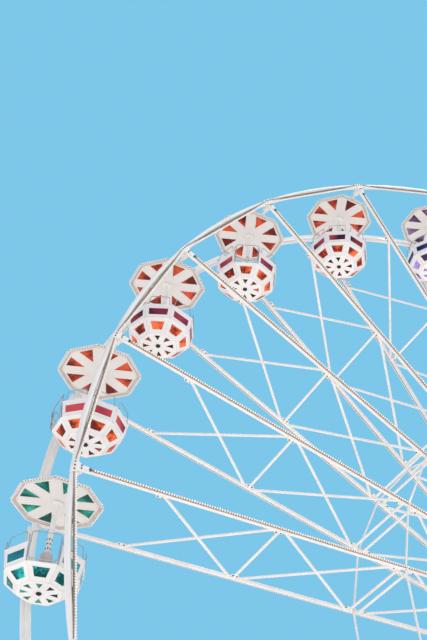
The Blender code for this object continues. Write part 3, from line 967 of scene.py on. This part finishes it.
def make_hub():
    """A barrel with two spoke flanges, ribs inside them and rings of bolts on their faces."""
    barrel, rim = HUB_BARREL_RADIUS, HUB_FLANGE_RADIUS
    back, face = HUB_HALF_SPACING - HUB_FLANGE_HALF, HUB_HALF_SPACING + HUB_FLANGE_HALF
    one_end = [
        (barrel, back - 0.10),
        (barrel + 0.05, back),
        (1.02, back),
        (rim, back + 0.03),
        (rim, face - 0.03),
        (1.02, face),
        (0.62, face),
        (0.58, face - 0.03),
        (barrel + 0.03, face - 0.03),
        (barrel, face + 0.02),
        (barrel, HUB_NOSE - 0.03),
        (barrel - 0.03, HUB_NOSE),
    ]
    levels = [(radius, -height) for radius, height in reversed(one_end)] + one_end
    body = laid(stack("hub body", 48, levels), (0, 0, 0), (0, 1, 0))
    outline = [(barrel - 0.02, -1.035, -0.012), (0.94, -1.035, -0.012), (barrel - 0.02, -0.45, -0.012)]
    rib = plate("rib", outline, (0, 0, 0.024))
    spots = []
    for number in range(0, CABIN_COUNT, 2):
        turn = Matrix.Rotation(-spoke_angle(number + 0.5), 4, "Y")
        spots += [turn @ side for side in BOTH_SIDES]
    hub = smooth(join("hub_body", body, repeat("ribs", rib, spots)), 35)
    places = []
    for number in range(CABIN_COUNT):
        for radius, shift in HUB_BOLT_CIRCLES:
            turn = spoke_angle(number) + shift
            places.append(((radius * cos(turn), -face, radius * sin(turn)), (0, -1, 0)))
    bolts = repeat("hub_bolts", bolts_at("hub bolts", places, 0.018, 0.018), BOTH_SIDES)
    for piece, finish, slot in ((hub, WHITE, "white_paint"), (bolts, BOLT, "dark_bolt")):
        piece.data.transform(Matrix.Translation((0, 0, HUB_HEIGHT)))
        fitted(piece, finish, "wheel", "hub")


# Cabins


def framed_panes(thing, name, test, border, lip=0.010, poke=False, spread=1.0):
    """Insets the faces that pass a test, gives each a raised lip, and lays a pane in every recess."""
    work_on(thing)
    pick("FACE", test)
    if poke:
        bpy.ops.mesh.poke()
    bpy.ops.mesh.inset(thickness=border, use_individual=True, use_even_offset=True)
    if spread != 1.0:
        bpy.ops.transform.resize(value=(spread, spread, 1), center_override=(0, 0, CEILING[1]))
    bpy.ops.mesh.inset(thickness=0.003, depth=0.005, use_individual=True)
    bpy.ops.mesh.inset(thickness=lip, use_individual=True)
    bpy.ops.mesh.inset(thickness=0.002, depth=-0.006, use_individual=True)
    panes = lifted(thing)
    panes.name = name
    return thicken(panes, PANE_THICKNESS)


def facing(height_low, height_high, up_low, up_high):
    """A test for faces by the height of their middle and by how far they face up."""

    def test(face):
        return height_low < face.calc_center_median().z < height_high and up_low < face.normal.z < up_high

    return test


def make_canopy():
    """The eight-sided roof: a flat ceiling inside a bulb-lined eave, and a low pitched top."""
    levels = [CEILING, EAVE_INNER, EAVE_OUTER, EAVE_TOP, CANOPY_TOP]
    canopy = stack("canopy", SIDES, levels, FLATS_ON_AXES)
    downwards = facing(-0.17, -0.15, -2, -0.9)
    ceiling = framed_panes(canopy, "ceiling panes", downwards, 0.1157, poke=True, spread=1.125)
    roof = framed_panes(canopy, "roof panes", facing(-0.13, -0.105, 0.9, 2), 0.115)
    return canopy, join("canopy panes", ceiling, roof)


def make_canopy_bulbs():
    """Eleven bulbs along each edge, on the outside of the eave."""
    centre = (EAVE_OUTER[0] * cos(pi / SIDES) + 0.010, 0, BULB_HEIGHT)
    bulb = globe(centre, (0, pi / 2, 0), BULB_RADIUS, rings=3)
    middle = BULBS_PER_EDGE // 2
    row = [Matrix.Translation((0, BULB_PITCH * (i - middle), 0)) for i in range(BULBS_PER_EDGE)]
    edge = repeat("edge bulbs", bulb, row)
    turns = [Matrix.Rotation(2 * pi * i / SIDES, 4, "Z") for i in range(SIDES)]
    return smooth(repeat("canopy bulbs", edge, turns), 80)


def octagon_band(name, outline):
    """An eight-sided ring of a small section, given as radii and heights at a corner."""
    band = path(name, [(radius, 0, height) for radius, height in outline], closed=True)
    bpy.ops.mesh.spin(steps=SIDES, angle=2 * pi, center=(0, 0, 0), axis=(0, 0, 1))
    close_up(MERGE)
    band.data.transform(Matrix.Rotation(FLATS_ON_AXES, 4, "Z"))
    return band


def make_bulb_strip():
    """The strip on the outside of the eave that carries the bulbs."""
    foot, head = -0.198, -0.164
    outer = ((0.9945, foot), (0.9965, foot + 0.004), (0.9965, head - 0.004), (0.9945, head))
    return octagon_band("bulb strip", [(0.985, foot), *outer, (0.985, head)])


def make_canopy_edges():
    """The sloped band inside the eave, its tan partly the eave's paint and partly painted shade on that
    slope.
    """
    ends = []
    for share in EAVE_BAND:
        ends.append([CEILING[i] + (EAVE_INNER[i] - CEILING[i]) * share for i in range(2)])
    (r0, z0), (r1, z1) = ends
    upper = [(r0 + 0.002, z0 + 0.004), (r1 + 0.002, z1 + 0.004)]
    lower = [(r1 - 0.002, z1 - 0.003), (r0 - 0.002, z0 - 0.003)]
    return octagon_band("canopy edges", upper + lower)


def doorway_wedge():
    """The block that opens the wall and the bench at the doorway."""
    wedge = box("wedge", (0.75, 0, -1.55), (0.62, 1.2, 0.99))
    for side in (-1, 1):
        bpy.ops.mesh.select_all(action="SELECT")
        bpy.ops.mesh.bisect(
            plane_co=(0, side * 0.004, 0),
            plane_no=(-sin(pi / SIDES), side * cos(pi / SIDES), 0),
            use_fill=True,
            clear_outer=True,
        )
    close_up(MERGE)
    return wedge


def make_tub():
    """The eight-sided tub: sloped skirt, walls, ring bench and floor, open on one side."""
    levels = [TUB_BOTTOM, TUB_KNEE, TUB_BAND, TUB_TOP, TUB_INNER_TOP, BENCH_BACK, BENCH_FRONT, TUB_FLOOR]
    tub = stack("tub", SIDES, levels, FLATS_ON_AXES)
    work_on(tub)
    pick("FACE", facing(-1.91, -1.89, 0.9, 2))
    bench = lifted(tub)
    bottom = framed_panes(tub, "bottom panes", facing(-2.33, -2.31, -2, -0.9), 0.065, lip=0.006, poke=True)
    skirt = framed_panes(tub, "skirt panes", facing(-2.25, -2.10, -0.95, -0.3), 0.083)

    def wall(face):
        middle = face.calc_center_median()
        outside = Vector((middle.x, middle.y, 0)).dot(face.normal) > 0
        return outside and -1.95 < middle.z < -1.75 and abs(face.normal.z) < 0.3 and middle.x < 0.75

    strips = framed_panes(tub, "wall strips", wall, 0.072)
    cut(tub, doorway_wedge())
    return tub, skirt, bottom, strips, bench


def make_bench(bench):
    """Seat boards on seven sides of the bench, with gaps between them."""
    work_on(bench)
    pick("FACE", lambda face: face.calc_center_median().x > 0.5)
    bpy.ops.mesh.delete(type="FACE")
    bpy.ops.mesh.select_all(action="SELECT")
    bpy.ops.mesh.inset(thickness=0.012, use_individual=True)
    bpy.ops.mesh.select_all(action="INVERT")
    bpy.ops.mesh.delete(type="FACE")
    bpy.ops.object.mode_set(mode="OBJECT")
    return soften(thicken(bench, 0.022), 0.005)


def corner(radius, number, height):
    """A corner of an octagon with flats on the axes."""
    turn = FLATS_ON_AXES + 2 * pi * number / SIDES
    return Vector((radius * cos(turn), radius * sin(turn), height))


def make_rails():
    """Bent tube hoops over seven walls, and a post each side of the doorway with a hoop between."""
    pieces = []
    rise = Vector((0, 0, HOOP_HEIGHT))
    for number in range(SIDES - 1):
        near = corner(HOOP_RADIUS, number, TUB_TOP[1])
        far = corner(HOOP_RADIUS, number + 1, TUB_TOP[1])
        start, end = near.lerp(far, 0.10), near.lerp(far, 0.90)
        high_start, high_end = near.lerp(far, 0.16), near.lerp(far, 0.84)
        line = [start, high_start + rise, high_end + rise, end]
        pieces.append(tube("hoop", line, HOOP_TUBE, 6, bend=0.04))
        foot = stack("foot", 8, HOOP_FOOT)
        pieces.append(repeat("feet", foot, [Matrix.Translation(start), Matrix.Translation(end)]))
    for number in (-1, 0):
        ends = [corner(radius, number, height) for radius, height in DOOR_POST]
        pieces.append(tube("door post", ends, DOOR_POST_TUBE, 8))
    left, right = (corner(DOOR_HOOP[0], number, DOOR_HOOP[1]) for number in (-1, 0))
    left, right = left.lerp(right, 0.05), left.lerp(right, 0.95)
    up = Vector((0, 0, DOOR_HOOP_HALF_HEIGHT))
    top = left.lerp(right, 0.5) + up
    line = [top, left + up, left - up, right - up, right + up, top]
    pieces.append(tube("door hoop", line, DOOR_HOOP_TUBE, 6, bend=0.05))
    return smooth(join("rails", *pieces))


def make_drum():
    """The round drum on the pole, by which the tub turns, on its foot and column."""
    foot = [(0.135, -2.287), (0.135, -2.262), (0.105, -2.25)]
    drum = [(0.100, -1.72), (0.128, -1.66), (0.132, -1.65), (0.132, -1.46), (0.122, -1.435), (0.075, -1.425)]
    return smooth(stack("drum", 20, foot + drum))


def make_hanger():
    """Axle, block and pole, with the plate that carries the canopy."""
    one_end = [(0.040, 0.9985), (CABIN_AXLE, 0.99), (CABIN_AXLE, 0.86), (0.058, 0.855), (0.058, 0.80),
               (CABIN_AXLE, 0.795)]
    levels = [(radius, -height) for radius, height in one_end] + one_end[::-1]
    axle = laid(stack("axle", 14, levels), (0, 0, 0), (0, 1, 0))
    block = box("block", (0, 0, -0.035), (0.17, 0.31, 0.18))
    pick("FACE", lambda face: abs(face.normal.x) > 0.9)
    recess(0.025, 0.012)
    block = soften(block, 0.008)
    pole = stack("pole", 16, [(POLE_RADIUS, -2.20), (POLE_RADIUS, -0.19), (0.085, -0.175), (0.085, -0.12)])
    square = [(x, y, -0.164) for x, y in ((-0.11, -0.11), (0.11, -0.11), (0.11, 0.11), (-0.11, 0.11))]
    carrier = soften(plate("carrier", square, (0, 0, -0.012)), 0.006)
    saddle = stack("saddle", 8, [(0.17, -0.105), (0.17, -0.085), (0.12, -0.075)], FLATS_ON_AXES)
    return smooth(join("hanger", axle, block, pole, carrier, saddle))


def make_canopy_bolts():
    """Bolts of the carrier plate and at the corners of the ceiling."""
    down = (0, 0, -1)
    places = [((x, y, -0.176), down) for x in (-0.085, 0.085) for y in (-0.085, 0.085)]
    places += [(corner(0.86, number, CEILING[1] - 0.001), down) for number in range(SIDES)]
    return bolts_at("canopy bolts", places, 0.007, 0.008)


def make_tub_fittings():
    """The centre nut under the floor, bolts at the tub's corners, and black discs on the pole that paint the
    shade inside its holes.
    """
    pieces = [stack("nut", 12, [(0.058, -2.316), (0.055, -2.340), (0.036, -2.343), (0.030, -2.356)])]
    places = []
    for number in range(SIDES):
        places.append((corner(0.79, number, TUB_KNEE[1]), corner(1, number, -0.55)))
        places.append((corner(0.856, number + 0.06, TUB_TOP[1]), (0, 0, 1)))
    pieces.append(bolts_at("tub bolts", places, 0.008, 0.008))
    for row in range(POLE_HOLE_ROWS):
        for i in range(6):
            turn = i * pi / 3 + (row % 2) * pi / 6
            way = Vector((cos(turn), sin(turn), 0))
            at = way * (POLE_RADIUS - 0.004) + Vector((0, 0, POLE_HOLES_START - row * POLE_HOLE_PITCH))
            # A hole is a thin black disc on the pole's face, its black painted shade.
            hole_shade_disc = stack("hole_shade_disc", 8, [(POLE_HOLE_RADIUS, 0), (POLE_HOLE_RADIUS, 0.005)])
            pieces.append(laid(hole_shade_disc, at, at + way))
    return join("tub fittings", *pieces)


def make_tub_seams():
    """Thin seam strips along the tub's edges."""
    section = [(0.831, -1.660), (0.867, -1.660), (0.867, -1.649), (0.831, -1.649)]
    pieces = [cut(octagon_band("top seam", section), doorway_wedge())]
    for number in range(SIDES):
        lines = []
        for (r0, z0), (r1, z1) in ((TUB_TOP, TUB_KNEE), (TUB_KNEE, TUB_BOTTOM)):
            lines.append((corner(r0, number, z0), corner(r1, number, z1)))
        for radius, height in (TUB_KNEE, TUB_BOTTOM):
            lines.append((corner(radius, number, height), corner(radius, number + 1, height)))
        pieces += [round_bar("seam", start, end, SEAM_RADIUS, 6) for start, end in lines]
    return join("tub seams", *pieces)


def make_cabins():
    """Models one cabin, and sets a copy of every piece at each axle, the tub turned to its doorway."""
    canopy, canopy_panes = make_canopy()
    tub, skirt_panes, bottom_panes, strips, bench = make_tub()
    canopy_kinds = (
        ("canopy", canopy, LINING, "cabin_shell"),
        ("canopy_panes", canopy_panes, PANES["canopy_panes"], "{colour}_panel"),
        ("canopy_bulbs", make_canopy_bulbs(), BULB, "lamp_glass"),
        ("canopy_edges", make_canopy_edges(), EAVE_TAN_AND_SHADE, "lamp_channel"),
        ("canopy_strip", make_bulb_strip(), STRIP, "lamp_channel"),
        ("canopy_bolts", make_canopy_bolts(), STEEL, "dark_bolt"),
        ("hanger", make_hanger(), WHITE, "white_paint"),
    )
    tub_kinds = (
        ("tub", tub, SHELL, "cabin_shell"),
        ("tub_drum", make_drum(), DRUM, "cabin_shell"),
        ("tub_panes", skirt_panes, PANES["tub_panes"], "{colour}_panel"),
        ("tub_ports", bottom_panes, PANES["tub_ports"], "{colour}_panel"),
        ("tub_strips", strips, PANES["tub_strips"], "{strip}_strip"),
        ("tub_seams", make_tub_seams(), SEAM, "lamp_channel"),
        ("tub_rails", make_rails(), RAIL, "guard_rail"),
        ("tub_fittings", make_tub_fittings(), TRIM, "black_trim"),
        ("bench", make_bench(bench), BENCH, "bench_top"),
    )
    for _, pattern, _, _ in tub_kinds:
        pattern.data.transform(Matrix.Diagonal((TUB_GROWTH, TUB_GROWTH, 1, 1)))
    for number in range(CABIN_COUNT):
        node = f"cabin_{number + 1:02d}"
        colour = COLOURS[ceil(number / CABINS_PER_COLOUR) % len(COLOURS)]
        angle = spoke_angle(number)
        pivot = Matrix.Translation((PIVOT_RADIUS * cos(angle), 0, HUB_HEIGHT + PIVOT_RADIUS * sin(angle)))
        doorway = DOORWAY_DEGREES[number] if number < len(DOORWAY_DEGREES) else DOORWAY_STEP * number
        turned = pivot @ Matrix.Rotation(radians(doorway), 4, "Z")
        for kinds, place in ((canopy_kinds, pivot), (tub_kinds, turned)):
            for word, pattern, finish, slot in kinds:
                finish = PANES[word][colour] if word in PANES else finish
                slot = slot.format(colour=colour, strip=STRIPS[colour])
                fitted(copied(pattern, f"{node}_{word}", place), finish, f"{node}_body", node)
    drop(*(pattern for _, pattern, _, _ in canopy_kinds + tub_kinds))


# Stand


def make_axle():
    """The fixed shaft between the bearings."""
    axle = laid(stack("axle_shaft", 32, AXLE_LEVELS), (0, 0, HUB_HEIGHT), (0, 1, HUB_HEIGHT))
    fitted(smooth(axle), STEEL, "root", "axle")


def make_bearings():
    """A bearing block with recessed faces and a bolted round cover, on each A-frame."""
    outline = [(x, -BEARING_INNER_FACE, HUB_HEIGHT + z) for x, z in BEARING_OUTLINE]
    block = plate("bearing", outline, (0, -BEARING_DEPTH, 0))
    work_on(block)
    pick("FACE", lambda face: abs(face.normal.y) > 0.9)
    recess(0.07, BEARING_RECESS)
    block = soften(block, 0.012)
    face = BEARING_INNER_FACE + BEARING_DEPTH - BEARING_RECESS - BEARING_COVER_FOOT
    cover = laid(stack("cover", 32, BEARING_COVER), (0, -face, HUB_HEIGHT), (0, -3, HUB_HEIGHT))
    block = smooth(join("bearing", block, cover))
    radius, rise = BEARING_BOLTS
    places = []
    for turn in (i * pi / 6 for i in range(12)):
        at = (radius * cos(turn), -face - rise, HUB_HEIGHT + radius * sin(turn))
        places.append((at, (0, -1, 0)))
    bolts = bolts_at("bearing bolts", places, 0.018, 0.016)
    for word, side in zip(("front", "back"), BOTH_SIDES):
        node = f"{word}_bearing"
        fitted(copied(block, f"{node}_block", side), WHITE, "root", node)
        fitted(copied(bolts, f"{node}_bolts", side), BOLT, "root", node)
    drop(block, bolts)


def leg_middle(height):
    """The middle of the front right leg at a height, and half its thickness there."""
    share = (height - LEG_SPAN[0]) / (LEG_SPAN[1] - LEG_SPAN[0])
    across = LEG_FOOT[0] + (LEG_TOP[0] - LEG_FOOT[0]) * share
    along = LEG_FOOT[1] + (LEG_TOP[1] - LEG_FOOT[1]) * share
    return across, -along, (LEG_SIZES[0] + (LEG_SIZES[1] - LEG_SIZES[0]) * share) / 2


def leg_length(low, high, extra):
    """A square length of the front right leg between two heights, grown by an extra on each side."""
    x, y, half = leg_middle(low)
    half += extra
    square = [(x - half, y - half), (x + half, y - half), (x + half, y + half), (x - half, y + half)]
    length = path("length", [(*point, low) for point in square], closed=True)
    top_x, top_y, top_half = leg_middle(high)
    rise = (top_x - x, top_y - y, high - low)
    bpy.ops.mesh.extrude_region_move(TRANSFORM_OT_translate={"value": rise})
    growth = (top_half + extra) / half
    bpy.ops.transform.resize(value=(growth, growth, 1), center_override=(top_x, top_y, high))
    close_up()
    return length


def make_legs():
    """Box legs in bolted lengths with recessed sides, set at the four corners."""
    pieces = []
    places = []
    ends = [LEG_SPAN[0], *LEG_JOINTS, LEG_SPAN[1]]
    for low, high in zip(ends, ends[1:]):
        length = leg_length(low, high, -LEG_FLANGE)
        work_on(length)
        pick("FACE", lambda face: abs(face.normal.z) < 0.8)
        recess(0.07, 0.02)
        pieces.append(soften(length, 0.008))
    for height in LEG_JOINTS:
        pieces.append(soften(leg_length(height - 0.03, height + 0.03, LEG_FLANGE), 0.004, 1))
        x, y, half = leg_middle(height)
        for share in (-0.6, 0.0, 0.6):
            places.append(((x + share * half, y - half - LEG_FLANGE, height), (0, -1, 0)))
            places.append(((x + half + LEG_FLANGE, y + share * half, height), (1, 0, 0)))
    plate_reach, plate_height = LEG_FOOT_PLATE
    foot_top = LEG_SPAN[0] + plate_height
    pieces.append(soften(leg_length(LEG_SPAN[0], foot_top, plate_reach), 0.005, 1))
    x, y, half = leg_middle(LEG_SPAN[0])
    reach = half + plate_reach / 2
    for dx in (-1, 0, 1):
        for dy in (-1, 0, 1):
            if dx or dy:
                places.append(((x + dx * reach, y + dy * reach, foot_top), (0, 0, 1)))
    leg = smooth(join("leg", *pieces))
    bolts = bolts_at("leg bolts", places, 0.020, 0.018)
    for word, side in zip(("front", "back"), BOTH_SIDES):
        for hand, turn in (("right", Matrix.Identity(4)), ("left", Matrix.Scale(-1, 4, (1, 0, 0)))):
            node = f"{word}_{hand}_leg"
            fitted(copied(leg, f"{node}_beam", side @ turn), WHITE, "root", node)
            fitted(copied(bolts, f"{node}_bolts", side @ turn), BOLT, "root", node)
    drop(leg, bolts)


def make_beam(node, low, high, border=0.05):
    """A beam of the stand between two corners, its sides recessed between stiffeners."""
    size = Vector(high) - Vector(low)
    beam = box(f"{node}_beam", (Vector(high) + Vector(low)) / 2, size)
    longest = max(range(3), key=lambda i: size[i])
    pick("EDGE", lambda edge: abs((edge.verts[0].co - edge.verts[1].co)[longest]) > 0.5)
    bpy.ops.mesh.subdivide(number_cuts=max(2, round(size[longest] / 1.6)))
    pick("FACE", lambda face: abs(face.normal.z) < 0.5 and abs(face.normal[longest]) < 0.5)
    recess(border, 0.05)
    fitted(smooth(soften(beam, 0.006, 1)), WHITE, "root", node)


def make_sills_and_ties():
    """The sills on the ground, and the tie beam between the two legs of each A-frame."""
    x, y, half = leg_middle(sum(TIE_SPAN) / 2)
    tie_reach = x - half + TIE_OVERLAP
    for word, side in (("front", -1), ("back", 1)):
        near, far = sorted(side * edge for edge in SILL_SIDES)
        make_beam(f"{word}_sill", (-SILL_HALF_LENGTH, near, 0), (SILL_HALF_LENGTH, far, SILL_HEIGHT))
        tie_y = -side * y
        low = (-tie_reach, tie_y - TIE_HALF_DEPTH, TIE_SPAN[0])
        high = (tie_reach, tie_y + TIE_HALF_DEPTH, TIE_SPAN[1])
        make_beam(f"{word}_tie", low, high)
    for word, hand in (("left", -1), ("right", 1)):
        near, far = sorted(hand * edge for edge in CROSS_SILL_SIDES)
        reach = SILL_SIDES[0]
        make_beam(f"{word}_sill", (near, -reach, 0), (far, reach, CROSS_SILL_HEIGHT), 0.04)


# Stage, light and camera


def seen_and_unseen(tree, unseen, unseen_output, seen, seen_output, end):
    """Shows the camera one shader, and lights the object with the other."""
    path_kind = shader_node(tree, "LightPath")
    blend = shader_node(tree, "MixShader")
    wire(
        tree,
        (path_kind, "Is Camera Ray", blend, "Fac"),
        (unseen, unseen_output, blend, 1),
        (seen, seen_output, blend, 2),
        (blend, "Shader", tree.nodes[end], "Surface"),
    )


def make_floor():
    """A plain pale floor that also throws soft light up at the wheel."""
    rest()
    bpy.ops.mesh.primitive_circle_add(
        vertices=96, radius=FLOOR_RADIUS, fill_type="NGON", location=(0, 0, FLOOR_LEVEL)
    )
    floor = named("floor")
    finish = weathered("pale_floor", (0.82, 0.78, 0.74), (0.76, 0.70, 0.65), 0.3, 0.2, 0.8)
    tree = finish.node_tree
    glow = tree.nodes["Principled BSDF"]
    set_inputs(glow, Emission_Color=(1.0, 0.94, 0.89, 1), Emission_Strength=0.52)
    plain = shader_node(tree, "BsdfDiffuse", Color=(0.56, 0.54, 0.52, 1))
    seen_and_unseen(tree, glow, "BSDF", plain, "BSDF", "Material Output")
    floor.data.materials.append(finish)


def make_surround():
    """A pale blue surround that lights the wheel softly from all sides."""
    world = bpy.data.worlds.new("pale blue surround")
    world.use_nodes = True
    tree = world.node_tree
    soft_light = set_inputs(tree.nodes["Background"], Color=(0.76, 0.83, 0.95, 1), Strength=0.75)
    surround = shader_node(tree, "Background", Color=(0.205, 0.57, 0.82, 1))
    seen_and_unseen(tree, soft_light, "Background", surround, "Background", "World Output")
    bpy.context.scene.world = world
    bpy.context.scene.view_settings.view_transform = "Standard"


def make_key_light():
    """One wide, soft light from high on the left."""
    key = bpy.data.lights.new("key", "SUN")
    key.energy = 1.5
    key.angle = radians(12)
    key.color = (1.0, 0.965, 0.92)
    lamp = bpy.data.objects.new("key", key)
    lamp.rotation_mode = "QUATERNION"
    lamp.rotation_quaternion = Vector((-0.32, 0.18, -0.93)).to_track_quat("-Z", "Y")
    bpy.context.scene.collection.objects.link(lamp)


def make_camera():
    """Near the foot of the wheel, to the left of its front, looking steeply up to the right."""
    forward = Vector(CAMERA_FORWARD).normalized()
    right = Vector(CAMERA_RIGHT)
    right = (right - forward * right.dot(forward)).normalized()
    turn = Matrix((right, right.cross(forward), -forward)).transposed().to_4x4()
    lens = bpy.data.cameras.new("camera")
    lens.sensor_fit = "AUTO"
    lens.sensor_width = SENSOR_WIDTH
    lens.lens = FOCAL_PIXELS / PICTURE_PIXELS * SENSOR_WIDTH
    lens.clip_start = 0.1
    lens.clip_end = 500
    camera = bpy.data.objects.new("camera", lens)
    camera.matrix_world = Matrix.Translation(CAMERA_PLACE) @ turn
    bpy.context.scene.collection.objects.link(camera)
    bpy.context.scene.camera = camera


make_spokes()
make_rims()
make_hub()
make_cabins()
make_axle()
make_bearings()
make_legs()
make_sills_and_ties()
make_floor()
make_surround()
make_key_light()
make_camera()
rest()
